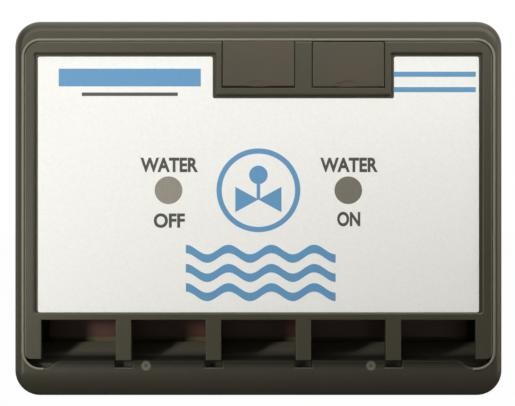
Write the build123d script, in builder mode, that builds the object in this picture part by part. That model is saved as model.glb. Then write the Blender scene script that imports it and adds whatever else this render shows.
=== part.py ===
from build123d import *
import os

# A wall-mounted leak detection controller, in millimetres.
# The wall is the plane y = 0, the front faces -Y, and z = 0 is half way up the case.
# A depth is a distance out from the wall, so its sketches lie on Plane.XZ.offset(depth).

# Case
case_width = 127.0
case_height = 97.5
case_depth = 32.0
case_corner_radius = 6.5
shell_wall = 2.0

# Rim, measured from the outside of the case in to the front opening
rim_side = 2.55
rim_top = 5.2
rim_bottom = 7.35
rim_round = 2.6
rim_corner_radius = 4.2
rim_edge_fillet = 0.4
rim_bead_width = 0.7
rim_bead_height = 0.3
rim_bead_fillet = 0.28
foot_curve_height = 6.5
foot_curve_back = 2.0

# Cable lip at the foot of the front opening
lip_height = 9.25
lip_sweep = 4.5
lip_sweep_inset = 0.8
lip_notch_depth = 1.85
lip_notch_clearance = 0.2
gate_mark_radius = 1.25
gate_mark_depth = 0.2
gate_mark_below_lip = 1.4

# Screw bosses that carry the back plate and the face panel
boss_radius = 3.5
boss_wall_gap = 0.9
boss_below_top = 8.2
boss_above_openings = 17.2
boss_pilot_radius = 1.25
boss_pilot_depth = 12.0

# Back plate
plate_thickness = 2.5
plate_clearance = 0.25
wall_hole_radius = 2.1
wall_hole_edge = 6.2
wall_hole_spacing = 80.0
plate_rib_width = 1.4
plate_rib_height = 3.0

# Cable ramp on the back plate, with a divider behind each finger of the face panel
ramp_wall = 1.6
ramp_board_gap = 3.8
ramp_finger_gap = 1.2
ramp_above_board_edge = 0.2
ramp_below_lip = 1.2
ramp_side_gap = 1.2
ramp_skirt_height = 3.8
divider_width = 1.6
divider_board_gap = 1.2
divider_top_gap = 0.6

# Countersunk case screws
case_screw_head_radius = 2.4
case_screw_radius = 1.2
case_screw_length = 10.0
case_screw_sink = 0.15
screw_slot_width = 0.6
screw_slot_depth = 0.6

# Face panel
panel_seam = 0.12
panel_recess = 0.3
panel_thickness = 2.4
panel_edge_fillet = 0.15
leg_width = 4.3
leg_gap = 0.3
leg_corner_radius = 1.5
cable_opening_count = 5
cable_opening_height = 10.5
finger_width = 4.0
finger_depth = 5.0
finger_root = 1.5
tongue_reach = 3.6
tongue_thickness = 1.2
tongue_clearance = 0.3
bar_height = 1.85
panel_rib_width = 1.6
panel_rib_depth = 5.0

# Snap hooks along the top of the face panel
hook_width = 9.0
hook_arm = 1.5
hook_inset = 0.8
hook_length = 9.0
hook_catch = 0.6
hook_barb_flat = 1.2
hook_from_side = 19.0

# Label bed and overlay
label_band_top = 3.1
label_band_side = 2.6
label_bed_depth = 1.0
label_bed_fillet = 0.5
label_thickness = 0.3
label_gap = 0.8
label_gap_bottom = 0.1
label_corner_radius = 0.5

# Indicator lenses
indicator_radius = 3.6
indicator_drop = 1.85
indicator_gap = 0.05
lens_stem_radius = 2.9
lens_bore_gap = 0.1
lens_sleeve_wall = 1.3
lens_sleeve_length = 6.0
lens_led_gap = 0.3

# Blanking plugs over the two upper cable openings
plug_web = 4.4
plug_opening_height = 12.0
plug_clearance = 0.15
plug_bottom_gap = 0.2
plug_depth = 6.0
plug_wall = 1.6
plug_edge_fillet = 0.3
plug_island_side = 1.6
plug_island_bottom = 1.95
plug_rail_wall = 1.2
plug_rail_depth = 4.5
plug_catch_half_width = 3.0
plug_catch_sag = 0.15
plug_scoop_height = 0.8
plug_scoop_depth = 0.15
plug_rib_radius = 0.1
loose_plug_forward = 0.3
loose_plug_lift = 0.1

# Circuit board
board_thickness = 1.6
board_standoff = 4.5
board_side_gap = 5.0
board_top_gap = 13.5
board_above_lip = 3.4
board_corner_radius = 2.0
board_boss_clearance = 0.6
board_screw_inset = 4.2
board_screw_radius = 1.15
board_screw_head_radius = 2.4
board_screw_head_height = 1.6
board_screw_length = 4.0
board_hole_clearance = 0.25
standoff_radius = 2.9
standoff_pilot_clearance = 0.05

# Terminal blocks
terminal_ways = 2
terminal_pitch = 5.0
terminal_end_wall = 0.2
terminal_height = 10.0
terminal_depth = 11.0
terminal_above_opening = 0.65
terminal_chamfer = 2.5
wire_tunnel_width = 3.8
wire_tunnel_depth = 4.4
wire_tunnel_length = 7.4
wire_tunnel_floor = 1.4
clamp_clearance = 0.1
clamp_wall = 0.6
clamp_length = 5.6
terminal_screw_radius = 1.7
terminal_screw_height = 2.9
terminal_well_clearance = 0.2

# Parts on the board
part_gap = 1.8
relay_width = 19.2
relay_height = 15.4
relay_depth = 12.2
relay_corner = 0.7
chip_length = 22.9
chip_width = 6.4
chip_thickness = 3.3
chip_lift = 0.5
chip_pin_pitch = 2.54
chip_pin_width = 0.6
chip_row_pitch = 7.62
crystal_length = 11.2
crystal_width = 4.6
crystal_height = 3.6
crystal_flange = 0.35
capacitor_radii = {"supply": 5.0, "output": 4.0}
capacitor_height = 14.0
capacitor_groove = 0.35
regulator_width = 6.6
regulator_body_height = 6.1
regulator_thickness = 2.3
regulator_tab_width = 5.3
regulator_tab_height = 1.0
regulator_tab_thickness = 0.5
regulator_leg_length = 1.2
regulator_leg_pitch = 2.3
regulator_leg_width = 0.8
led_radius = 2.5
led_flange_radius = 2.9
led_flange_height = 1.0
led_height = 8.6
led_chamfer = 0.5
resistor_count = 6
resistor_radius = 1.15
resistor_length = 6.3
resistor_spacing = 3.8
diode_radius = 1.3
diode_length = 5.0
transistor_radius = 2.3
transistor_height = 4.6
transistor_lift = 2.0
transistor_leg_width = 0.5
fuse_radius = 3.8
fuse_thickness = 3.0
fuse_lift = 1.0
header_ways = 5
header_pitch = 2.54
header_pin_width = 0.64
header_pin_height = 8.4

# Places that follow from the sizes above
case_top = case_height / 2
case_bottom = -case_top
inner_half_width = case_width / 2 - shell_wall
inner_top = case_top - shell_wall
inner_corner_radius = case_corner_radius - shell_wall
rim_front = case_depth - rim_bead_height
flange_back = rim_front - shell_wall
opening_half_width = case_width / 2 - rim_side
opening_top = case_top - rim_top
opening_bottom = case_bottom + rim_bottom
lip_top = case_bottom + lip_height

panel_half_width = opening_half_width - panel_seam
panel_top = opening_top - panel_seam
panel_front = case_depth - panel_recess
panel_back = panel_front - panel_thickness
finger_back = panel_front - finger_depth
leg_end = lip_top + leg_gap
cable_top = lip_top + cable_opening_height
cable_half_span = panel_half_width - leg_width
finger_count = cable_opening_count - 1
cable_opening_width = (2 * cable_half_span - finger_count * finger_width) / cable_opening_count
opening_pitch = cable_opening_width + finger_width
cable_xs = [opening_pitch * (i - finger_count / 2) for i in range(cable_opening_count)]
finger_xs = [x + opening_pitch / 2 for x in cable_xs[:-1]]

bed_half_width = panel_half_width - label_band_side
bed_top = panel_top - label_band_top
bed_bottom = cable_top + bar_height
bed_depth = panel_front - label_bed_depth
indicator_z = (bed_top + bed_bottom) / 2 - indicator_drop
indicator_points = [(-opening_pitch, indicator_z), (opening_pitch, indicator_z)]

plug_opening_width = opening_pitch - plug_web
plug_opening_bottom = panel_top - plug_opening_height
plug_xs = {"blanking_plug_left": 0, "blanking_plug_right": opening_pitch}
plug_width = plug_opening_width - 2 * plug_clearance
plug_height = plug_opening_height - plug_bottom_gap

boss_x = inner_half_width - boss_wall_gap - boss_radius
boss_zs = [inner_top - boss_below_top, cable_top + boss_above_openings]
boss_points = [(side * boss_x, z) for side in (-1, 1) for z in boss_zs]
wall_hole_points = [(side * wall_hole_spacing / 2, inner_top - wall_hole_edge) for side in (-1, 1)]

board_back = plate_thickness + board_standoff
board_front = board_back + board_thickness
board_half_width = inner_half_width - board_side_gap
board_top = inner_top - board_top_gap
board_bottom = lip_top + board_above_lip
ramp_back = board_front + ramp_board_gap
ramp_front = finger_back - ramp_finger_gap
ramp_high = board_bottom + ramp_above_board_edge
ramp_low = lip_top - ramp_below_lip
ramp_foot = ramp_low - ramp_skirt_height
divider_back = board_front + divider_board_gap
divider_top = cable_top - divider_top_gap
divider_step = board_bottom - divider_board_gap
terminal_bottom = cable_top + terminal_above_opening
terminal_top = terminal_bottom + terminal_height
terminal_width = terminal_ways * terminal_pitch + 2 * terminal_end_wall
terminal_middle = (terminal_bottom + terminal_top) / 2
terminal_front = board_front + terminal_depth
way_offsets = [terminal_pitch * (i - (terminal_ways - 1) / 2) for i in range(terminal_ways)]
way_xs = [x + offset for x in cable_xs for offset in way_offsets]
tunnel_depth = board_front + wire_tunnel_floor + wire_tunnel_depth / 2
clamp_front = tunnel_depth + wire_tunnel_depth / 2 - clamp_clearance
board_screw_points = [
    (-opening_pitch, board_top - board_screw_inset),
    (opening_pitch, board_top - board_screw_inset),
    (-1.5 * opening_pitch, terminal_middle),
    (1.5 * opening_pitch, terminal_middle),
]

os.makedirs("parts", exist_ok=True)


def save(solid, name):
    """Name a finished piece and write it to its own file."""
    solid.label = name
    export_step(solid, f"parts/{name}.step")


def label_field(depth, gap, bottom_gap):
    """The label bed's outline at a depth, drawn in by a gap, with room for the plug island."""
    island_gap = plug_island_side + gap
    island_left = -plug_opening_width / 2 - island_gap
    island_right = opening_pitch + plug_opening_width / 2 + island_gap
    island_bottom = plug_opening_bottom - plug_island_bottom - gap
    low = bed_bottom + bottom_gap
    high = bed_top - gap
    with BuildSketch(Plane.XZ.offset(depth)) as field:
        with Locations((0, (low + high) / 2)):
            Rectangle(2 * (bed_half_width - gap), high - low)
        with Locations(((island_left + island_right) / 2, (island_bottom + panel_top) / 2)):
            Rectangle(island_right - island_left, panel_top - island_bottom, mode=Mode.SUBTRACT)
        fillet(field.vertices(), label_corner_radius)
    return field.sketch


# Front shell: an open-backed case with a rounded front, opened in front with rims of uneven width
with BuildPart() as front_shell:
    with BuildSketch(Plane.XZ):
        RectangleRounded(case_width, case_height, case_corner_radius)
    extrude(amount=rim_front)
    fillet(front_shell.faces().sort_by(Axis.Y)[0].edges(), rim_round)
    # The foot of the front curves back towards the wall
    with BuildSketch(Plane.YZ):
        with BuildLine():
            curve_top = (-rim_front, case_bottom + foot_curve_height)
            curve_end = (foot_curve_back - rim_front, case_bottom)
            TangentArc(curve_top, curve_end, tangent=(0, -1))
            Polyline(curve_end, (-rim_front, case_bottom), curve_top)
        make_face()
    extrude(amount=case_width, both=True, mode=Mode.SUBTRACT)
    offset(amount=-shell_wall, openings=front_shell.faces().sort_by(Axis.Y)[-1])
    # The front opening, with the cable lip rising in an S from each lower corner
    sweep_foot = cable_half_span - lip_sweep_inset
    with BuildSketch(Plane.XZ.offset(rim_front)):
        with Locations((0, (opening_top + opening_bottom) / 2)):
            RectangleRounded(2 * opening_half_width, opening_top - opening_bottom, rim_corner_radius)
        with BuildLine():
            sweep_middle = (sweep_foot - lip_sweep / 2, (opening_bottom + lip_top) / 2)
            foot_arc = TangentArc((sweep_foot, opening_bottom), sweep_middle, tangent=(-1, 0))
            head_arc = TangentArc(sweep_middle, (sweep_foot - lip_sweep, lip_top), tangent=foot_arc % 1)
            Line(head_arc @ 1, (0, lip_top))
            Line((0, opening_bottom), foot_arc @ 0)
            Line((0, lip_top), (0, opening_bottom))
        lip_half = make_face(mode=Mode.SUBTRACT)
        mirror(lip_half, about=Plane.YZ, mode=Mode.SUBTRACT)
        # Notches in the lip under the panel's fingers
        with Locations(*[(x, lip_top) for x in finger_xs]):
            Rectangle(finger_width + 2 * lip_notch_clearance, 2 * lip_notch_depth)
    extrude(amount=-rim_round, mode=Mode.SUBTRACT)
    opening_walls = front_shell.faces(Select.LAST)
    rim_edges = opening_walls.edges().filter_by_position(Axis.Y, -rim_front, -rim_front + rim_edge_fillet)
    fillet(rim_edges, rim_edge_fillet)
    # A raised bead along the rim, which ends where the lip begins
    with BuildSketch(Plane.XZ.offset(rim_front - shell_wall / 2)):
        with Locations((0, (opening_top + opening_bottom) / 2)):
            RectangleRounded(
                2 * (opening_half_width + rim_bead_width),
                opening_top - opening_bottom + 2 * rim_bead_width,
                rim_corner_radius + rim_bead_width,
            )
            RectangleRounded(
                2 * opening_half_width, opening_top - opening_bottom, rim_corner_radius, mode=Mode.SUBTRACT
            )
        with Locations((0, opening_bottom)):
            Rectangle(2 * sweep_foot, 2 * rim_bead_width, mode=Mode.SUBTRACT)
    extrude(amount=shell_wall / 2 + rim_bead_height)
    fillet(front_shell.faces().sort_by(Axis.Y)[0].edges(), rim_bead_fillet)
    # Moulding gate marks on the lip
    with BuildSketch(Plane.XZ.offset(rim_front)):
        with Locations(*[(side * 1.25 * opening_pitch, lip_top - gate_mark_below_lip) for side in (-1, 1)]):
            Circle(gate_mark_radius)
    extrude(amount=-gate_mark_depth, mode=Mode.SUBTRACT)
    # Screw bosses with a web to the side wall
    with BuildSketch(Plane.XZ.offset(plate_thickness)):
        with Locations(*boss_points):
            Circle(boss_radius)
        with Locations(*[((boss_x + inner_half_width) / 2 * (1 if x > 0 else -1), z) for x, z in boss_points]):
            Rectangle(inner_half_width - boss_x + shell_wall, boss_radius)
    extrude(amount=panel_back - plate_thickness)
    with BuildSketch(Plane.XZ.offset(plate_thickness)):
        with Locations(*boss_points):
            Circle(boss_pilot_radius)
    extrude(amount=boss_pilot_depth, mode=Mode.SUBTRACT)
save(front_shell.part, "front_shell")

# Back plate: closes the case, carries the board and takes the wall screws
with BuildPart() as back_plate:
    with BuildSketch(Plane.XZ):
        RectangleRounded(
            2 * (inner_half_width - plate_clearance),
            2 * (inner_top - plate_clearance),
            inner_corner_radius - plate_clearance,
        )
        with Locations(*wall_hole_points):
            Circle(wall_hole_radius, mode=Mode.SUBTRACT)
    extrude(amount=plate_thickness)
    with BuildSketch(Plane.XZ.offset(plate_thickness)):
        with Locations(*board_screw_points):
            Circle(standoff_radius)
    extrude(amount=board_standoff)
    with BuildSketch(Plane.XZ.offset(plate_thickness)):
        with Locations((0, board_screw_points[0][1]), (0, terminal_middle)):
            Rectangle(2 * board_screw_points[3][0], plate_rib_width)
    extrude(amount=plate_rib_height)
    # Ramp that leads the cables up to the terminals, with a skirt behind the lip
    with BuildSketch(Plane.YZ):
        with BuildLine():
            Polyline(
                (-ramp_back, ramp_high),
                (-ramp_front, ramp_low),
                (-ramp_front, ramp_foot),
                (-ramp_front + ramp_wall, ramp_foot),
                (-ramp_front + ramp_wall, ramp_low - ramp_wall / 2),
                (-ramp_back, ramp_high - ramp_wall),
                close=True,
            )
        make_face()
    extrude(amount=inner_half_width - ramp_side_gap, both=True)
    # Dividers that carry the ramp and part the cable bays
    for finger_x in finger_xs:
        with BuildSketch(Plane.YZ.offset(finger_x)):
            with BuildLine():
                Polyline(
                    (0, ramp_foot),
                    (-ramp_front, ramp_foot),
                    (-ramp_front, divider_top),
                    (-divider_back, divider_top),
                    (-divider_back, divider_step),
                    (0, divider_step),
                    close=True,
                )
            make_face()
        extrude(amount=divider_width / 2, both=True)
    with BuildSketch(Plane.XZ.offset(board_back)):
        with Locations(*board_screw_points):
            Circle(board_screw_radius + standoff_pilot_clearance)
    extrude(amount=-board_screw_length, mode=Mode.SUBTRACT)
    with Locations(*[Plane((x, 0, z), x_dir=(-1, 0, 0), z_dir=(0, 1, 0)) for x, z in boss_points]):
        CounterSinkHole(
            radius=boss_pilot_radius,
            counter_sink_radius=case_screw_head_radius + case_screw_sink,
            depth=plate_thickness,
            counter_sink_angle=90,
        )
save(back_plate.part, "back_plate")

# Case screws: countersunk, driven through the back plate into the bosses
with BuildPart() as case_screws:
    with BuildSketch(Plane.XZ.offset(case_screw_sink)):
        with Locations(*boss_points):
            Circle(case_screw_head_radius)
    extrude(amount=case_screw_head_radius - case_screw_radius, taper=45)
    with BuildSketch(Plane.XZ.offset(case_screw_sink)):
        with Locations(*boss_points):
            Circle(case_screw_radius)
    extrude(amount=case_screw_length)
    with BuildSketch(Plane.XZ.offset(case_screw_sink)):
        with Locations(*boss_points):
            Rectangle(2 * case_screw_head_radius, screw_slot_width)
    extrude(amount=screw_slot_depth, mode=Mode.SUBTRACT)
save(case_screws.part, "case_screws")

# Face panel: snaps into the front opening, with a comb of fingers between the cable openings
with BuildPart() as face_panel:
    with BuildSketch(Plane.XZ.offset(panel_back)) as panel_outline:
        with Locations((0, (panel_top + leg_end) / 2)):
            Rectangle(2 * panel_half_width, panel_top - leg_end)
        fillet(panel_outline.vertices().group_by(Axis.Y)[-1], rim_corner_radius - panel_seam)
        fillet(panel_outline.vertices().group_by(Axis.Y)[0], leg_corner_radius)
        with Locations((0, leg_end)):
            Rectangle(2 * cable_half_span, 2 * (cable_top - leg_end), mode=Mode.SUBTRACT)
        with Locations(*[(x, panel_top) for x in plug_xs.values()]):
            Rectangle(plug_opening_width, 2 * plug_opening_height, mode=Mode.SUBTRACT)
        with Locations(*indicator_points):
            Circle(lens_stem_radius + lens_bore_gap, mode=Mode.SUBTRACT)
    extrude(amount=panel_thickness)
    with BuildSketch(Plane.XZ.offset(finger_back)):
        with Locations(*[(x, (cable_top + finger_root + lip_top) / 2) for x in finger_xs]):
            Rectangle(finger_width, cable_top + finger_root - lip_top)
    extrude(amount=finger_depth)
    extrude(label_field(panel_front, 0, 0), amount=-label_bed_depth, mode=Mode.SUBTRACT)
    panel_face = face_panel.faces().sort_by(Axis.Y)[0]
    fillet(panel_face.inner_wires()[0].edges(), label_bed_fillet)
    panel_face = face_panel.faces().sort_by(Axis.Y)[0]
    fillet(panel_face.outer_wire().edges(), panel_edge_fillet)
    # Tongues that pass behind the notches and hook under the lip
    tongue_front = flange_back - tongue_clearance
    tongue_foot = lip_top - tongue_reach
    hook_top = lip_top - lip_notch_depth - tongue_clearance
    for finger_x in finger_xs:
        with BuildSketch(Plane.YZ.offset(finger_x)):
            with BuildLine():
                Polyline(
                    (-finger_back, lip_top + finger_root),
                    (-finger_back, tongue_foot),
                    (-tongue_front, tongue_foot),
                    (-tongue_front, hook_top),
                    (-finger_back - tongue_thickness, hook_top),
                    (-finger_back - tongue_thickness, lip_top + finger_root),
                    close=True,
                )
            make_face()
        extrude(amount=finger_width / 2, both=True)
    # Stiffening rib over the cable openings, sleeves for the lenses and rails for the plugs
    with BuildSketch(Plane.XZ.offset(panel_back - panel_rib_depth)):
        with Locations((0, cable_top + panel_rib_width / 2)):
            Rectangle(2 * cable_half_span, panel_rib_width)
    extrude(amount=panel_rib_depth)
    with BuildSketch(Plane.XZ.offset(panel_back - lens_sleeve_length)):
        with Locations(*indicator_points):
            Circle(lens_stem_radius + lens_bore_gap + lens_sleeve_wall)
            Circle(lens_stem_radius + lens_bore_gap, mode=Mode.SUBTRACT)
    extrude(amount=lens_sleeve_length)
    with BuildSketch(Plane.XZ.offset(panel_back - plug_rail_depth)):
        rail_height = plug_opening_height + plug_rail_wall
        with Locations(*[(x, panel_top - rail_height / 2) for x in plug_xs.values()]):
            Rectangle(plug_opening_width + 2 * plug_rail_wall, rail_height)
        with Locations(*[(x, panel_top) for x in plug_xs.values()]):
            Rectangle(plug_opening_width, 2 * plug_opening_height, mode=Mode.SUBTRACT)
    extrude(amount=plug_rail_depth)
    # Snap hooks that catch behind the top of the rim
    hook_outer = panel_top - hook_inset
    hook_tip = hook_length - panel_back
    catch_y = tongue_clearance - flange_back
    root_y = -(panel_front + panel_back) / 2
    for hook_x in (-panel_half_width + hook_from_side, panel_half_width - hook_from_side):
        with BuildSketch(Plane.YZ.offset(hook_x)):
            with BuildLine():
                Polyline(
                    (root_y, hook_outer - hook_arm),
                    (hook_tip, hook_outer - hook_arm),
                    (hook_tip, hook_outer),
                    (catch_y + hook_barb_flat, opening_top + hook_catch),
                    (catch_y, opening_top + hook_catch),
                    (catch_y, hook_outer),
                    (root_y, hook_outer),
                    close=True,
                )
            make_face()
        extrude(amount=hook_width / 2, both=True)
save(face_panel.part, "face_panel")

# Printed label overlay in the panel's bed
with BuildPart() as label_overlay:
    extrude(label_field(bed_depth, label_gap, label_gap_bottom), amount=label_thickness)
    with BuildSketch(Plane.XZ.offset(bed_depth)):
        with Locations(*indicator_points):
            Circle(indicator_radius)
    extrude(amount=label_thickness, mode=Mode.SUBTRACT)
save(label_overlay.part, "label_overlay")

# Indicator lenses: a disc level with the label and a stem that brings the light forward
led_tip = board_front + led_height
lens_names = ["indicator_lens_off", "indicator_lens_on"]
for name, point in zip(lens_names, indicator_points):
    with BuildPart() as indicator_lens:
        with BuildSketch(Plane.XZ.offset(bed_depth)):
            with Locations(point):
                Circle(indicator_radius - indicator_gap)
        extrude(amount=label_thickness)
        with BuildSketch(Plane.XZ.offset(led_tip + lens_led_gap)):
            with Locations(point):
                Circle(lens_stem_radius)
        extrude(amount=bed_depth - led_tip - lens_led_gap)
    save(indicator_lens.part, name)

# Blanking plugs: hollow caps with a fingernail catch, the left one sitting a little high and proud
plug_shifts = {"blanking_plug_left": (loose_plug_forward, loose_plug_lift), "blanking_plug_right": (0, 0)}
for name, (forward, lift) in plug_shifts.items():
    face = Plane(
        origin=(plug_xs[name], -panel_front - forward, plug_opening_bottom + plug_bottom_gap + lift),
        x_dir=(1, 0, 0),
        z_dir=(0, -1, 0),
    )
    with BuildPart() as blanking_plug:
        with BuildSketch(face.offset(-plug_depth)):
            with Locations((0, plug_height / 2)):
                Rectangle(plug_width, plug_height)
        extrude(amount=plug_depth)
        # Catch: a low bulge under the lower edge, with a scoop above it
        with BuildSketch(face):
            with BuildLine():
                catch_left = (-plug_catch_half_width, 0)
                catch_right = (plug_catch_half_width, 0)
                ThreePointArc(catch_left, (0, -plug_catch_sag), catch_right)
                Line(catch_right, catch_left)
            make_face()
        extrude(amount=-plug_wall)
        fillet(blanking_plug.faces().sort_by(Axis.Y)[0].edges(), plug_edge_fillet)
        with BuildSketch(face):
            with BuildLine():
                scoop_left = (-plug_catch_half_width, plug_scoop_height)
                scoop_right = (plug_catch_half_width, plug_scoop_height)
                ThreePointArc(scoop_left, (0, plug_edge_fillet), scoop_right)
                ThreePointArc(scoop_right, (0, 2 * plug_scoop_height), scoop_left)
            make_face()
        extrude(amount=-plug_scoop_depth, mode=Mode.SUBTRACT)
        # Hollow behind the face, and crush ribs that grip the rails
        with BuildSketch(face.offset(-plug_depth)):
            with Locations((0, plug_height / 2)):
                Rectangle(plug_width - 2 * plug_wall, plug_height - 2 * plug_wall)
        extrude(amount=plug_depth - plug_wall, mode=Mode.SUBTRACT)
        with BuildSketch(face.offset(-plug_depth)):
            with Locations((-plug_width / 2, plug_height / 2), (plug_width / 2, plug_height / 2)):
                Circle(plug_rib_radius)
        extrude(amount=plug_depth - plug_wall)
    save(blanking_plug.part, name)

# Circuit board, notched round the lower bosses
with BuildPart() as circuit_board:
    with BuildSketch(Plane.XZ.offset(board_back)):
        with Locations((0, (board_top + board_bottom) / 2)):
            RectangleRounded(2 * board_half_width, board_top - board_bottom, board_corner_radius)
        with Locations(*boss_points):
            Circle(boss_radius + board_boss_clearance, mode=Mode.SUBTRACT)
        with Locations(*board_screw_points):
            Circle(board_screw_radius + board_hole_clearance, mode=Mode.SUBTRACT)
    extrude(amount=board_thickness)
save(circuit_board.part, "circuit_board")

# Board screws
with BuildPart() as board_screws:
    with BuildSketch(Plane.XZ.offset(board_front)):
        with Locations(*board_screw_points):
            Circle(board_screw_head_radius)
    extrude(amount=board_screw_head_height)
    with BuildSketch(Plane.XZ.offset(board_front)):
        with Locations(*board_screw_points):
            Circle(board_screw_radius)
    extrude(amount=-board_screw_length)
    with BuildSketch(Plane.XZ.offset(board_front + board_screw_head_height)):
        with Locations(*board_screw_points):
            Rectangle(2 * board_screw_head_radius, screw_slot_width)
    extrude(amount=-screw_slot_depth, mode=Mode.SUBTRACT)
save(board_screws.part, "board_screws")

# Terminal blocks, one behind each cable opening, with their wire entries facing down
for number, block_x in enumerate(cable_xs, start=1):
    with BuildPart() as terminal_block:
        with BuildSketch(Plane.YZ.offset(block_x)):
            with BuildLine():
                Polyline(
                    (-board_front, terminal_bottom),
                    (-terminal_front + 2 * terminal_chamfer, terminal_bottom),
                    (-terminal_front, terminal_bottom + terminal_chamfer),
                    (-terminal_front, terminal_top - terminal_chamfer / 2),
                    (-terminal_front + terminal_chamfer / 2, terminal_top),
                    (-board_front, terminal_top),
                    close=True,
                )
            make_face()
        extrude(amount=terminal_width / 2, both=True)
        with BuildSketch(Plane.XY.offset(terminal_bottom)):
            with Locations(*[(block_x + offset, -tunnel_depth) for offset in way_offsets]):
                Rectangle(wire_tunnel_width, wire_tunnel_depth)
        extrude(amount=wire_tunnel_length, mode=Mode.SUBTRACT)
        with BuildSketch(Plane.XZ.offset(tunnel_depth)):
            with Locations(*[(block_x + offset, terminal_middle) for offset in way_offsets]):
                Circle(terminal_screw_radius + terminal_well_clearance)
        extrude(amount=terminal_depth, mode=Mode.SUBTRACT)
    save(terminal_block.part, f"terminal_block_{number}")

# Wire clamps: square cages that sit in the wire tunnels
with BuildPart() as wire_clamps:
    clamp_width = wire_tunnel_width - 2 * clamp_clearance
    clamp_depth = wire_tunnel_depth - 2 * clamp_clearance
    with BuildSketch(Plane.XY.offset(terminal_bottom + wire_tunnel_length - clamp_length)):
        with Locations(*[(x, -tunnel_depth) for x in way_xs]):
            Rectangle(clamp_width, clamp_depth)
            Rectangle(clamp_width - 2 * clamp_wall, clamp_depth - 2 * clamp_wall, mode=Mode.SUBTRACT)
    extrude(amount=clamp_length)
save(wire_clamps.part, "wire_clamps")

# Terminal screws, standing on the clamps
with BuildPart() as terminal_screws:
    way_points = [(x, terminal_middle) for x in way_xs]
    with BuildSketch(Plane.XZ.offset(clamp_front)):
        with Locations(*way_points):
            Circle(terminal_screw_radius)
    extrude(amount=terminal_screw_height)
    with BuildSketch(Plane.XZ.offset(clamp_front + terminal_screw_height)):
        with Locations(*way_points):
            Rectangle(2 * terminal_screw_radius, screw_slot_width)
    extrude(amount=-screw_slot_depth, mode=Mode.SUBTRACT)
save(terminal_screws.part, "terminal_screws")

# Relays for the shut-off valve, one above the other
relay_x = -(board_half_width + opening_pitch + led_flange_radius) / 2
relay_middle = (terminal_top + board_top) / 2
relay_rise = (relay_height + part_gap) / 2
relay_zs = {"valve_relay_open": relay_middle + relay_rise, "valve_relay_close": relay_middle - relay_rise}
for name, relay_z in relay_zs.items():
    with BuildPart() as relay:
        with BuildSketch(Plane.XZ.offset(board_front)):
            with Locations((relay_x, relay_z)):
                Rectangle(relay_width, relay_height)
        extrude(amount=relay_depth)
        chamfer(relay.edges().filter_by(Axis.Y), relay_corner)
        chamfer(relay.faces().sort_by(Axis.Y)[0].edges(), relay_corner / 2)
    save(relay.part, name)

# Microcontroller in a two-row package, with its legs down to the board
chip_z = indicator_z + chip_row_pitch
chip_pins = int(chip_length // chip_pin_pitch)
with BuildPart() as microcontroller:
    with BuildSketch(Plane.XZ.offset(board_front + chip_lift)):
        with Locations((0, chip_z)):
            Rectangle(chip_length, chip_width)
        with Locations((-chip_length / 2, chip_z)):
            Circle(chip_width / 6, mode=Mode.SUBTRACT)
    extrude(amount=chip_thickness)
    with BuildSketch(Plane.XZ.offset(board_front)):
        with Locations((0, chip_z)):
            with GridLocations(chip_pin_pitch, chip_row_pitch, chip_pins, 2):
                Rectangle(chip_pin_width, chip_row_pitch - chip_width)
    extrude(amount=chip_lift + chip_thickness / 2)
save(microcontroller.part, "microcontroller")

# Crystal can on its flange
crystal_z = chip_z + chip_row_pitch + crystal_width / 2
with BuildPart() as crystal:
    with BuildSketch(Plane.XZ.offset(board_front)):
        with Locations((0, crystal_z)):
            SlotOverall(crystal_length, crystal_width)
    extrude(amount=crystal_flange)
    with BuildSketch(Plane.XZ.offset(board_front + crystal_flange)):
        with Locations((0, crystal_z)):
            SlotOverall(crystal_length - 2 * crystal_flange, crystal_width - 2 * crystal_flange)
    extrude(amount=crystal_height - crystal_flange)
    chamfer(crystal.faces().sort_by(Axis.Y)[0].edges(), crystal_flange)
save(crystal.part, "crystal")

# Electrolytic capacitors, rolled in above the foot
power_x = 1.8 * opening_pitch
capacitor_z = indicator_z + capacitor_radii["supply"]
for name, radius in capacitor_radii.items():
    with BuildPart() as capacitor:
        with BuildSketch(Plane(origin=(power_x, -board_front, capacitor_z), x_dir=(1, 0, 0), z_dir=(0, 0, 1))):
            with BuildLine():
                Polyline(
                    (0, 0),
                    (radius, 0),
                    (radius, -capacitor_groove * 4),
                    (radius - capacitor_groove, -capacitor_groove * 5),
                    (radius, -capacitor_groove * 6),
                    (radius, -capacitor_height + capacitor_groove),
                    (radius - capacitor_groove, -capacitor_height),
                    (0, -capacitor_height),
                    close=True,
                )
            make_face()
        revolve(axis=Axis((power_x, 0, capacitor_z), (0, 1, 0)))
    save(capacitor.part, f"{name}_capacitor")
    capacitor_z -= sum(capacitor_radii.values()) + part_gap

# Voltage regulator, lying on the board on its heat tab
regulator_foot = indicator_z + led_flange_radius + part_gap + regulator_leg_length
regulator_top = regulator_foot + regulator_body_height
with BuildPart() as voltage_regulator:
    with BuildSketch(Plane.XZ.offset(board_front)):
        with Locations((opening_pitch, (regulator_foot + regulator_top) / 2)):
            Rectangle(regulator_width, regulator_body_height)
    extrude(amount=regulator_thickness)
    with BuildSketch(Plane.XZ.offset(board_front)):
        with Locations((opening_pitch, regulator_top)):
            Rectangle(regulator_tab_width, 2 * regulator_tab_height)
        with Locations((opening_pitch, regulator_foot)):
            with GridLocations(regulator_leg_pitch, 1, 3, 1):
                Rectangle(regulator_leg_width, 2 * regulator_leg_length)
    extrude(amount=regulator_tab_thickness)
save(voltage_regulator.part, "voltage_regulator")

# Indicator lamps under the lens stems
for name, (led_x, led_z) in zip(["led_off", "led_on"], indicator_points):
    with BuildPart() as led:
        with BuildSketch(Plane.XZ.offset(board_front)):
            with Locations((led_x, led_z)):
                Circle(led_flange_radius)
        extrude(amount=led_flange_height)
        with BuildSketch(Plane.XZ.offset(board_front)):
            with Locations((led_x, led_z)):
                Circle(led_radius)
        extrude(amount=led_height)
        chamfer(led.faces().sort_by(Axis.Y)[0].edges(), led_chamfer)
    save(led.part, name)

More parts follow.
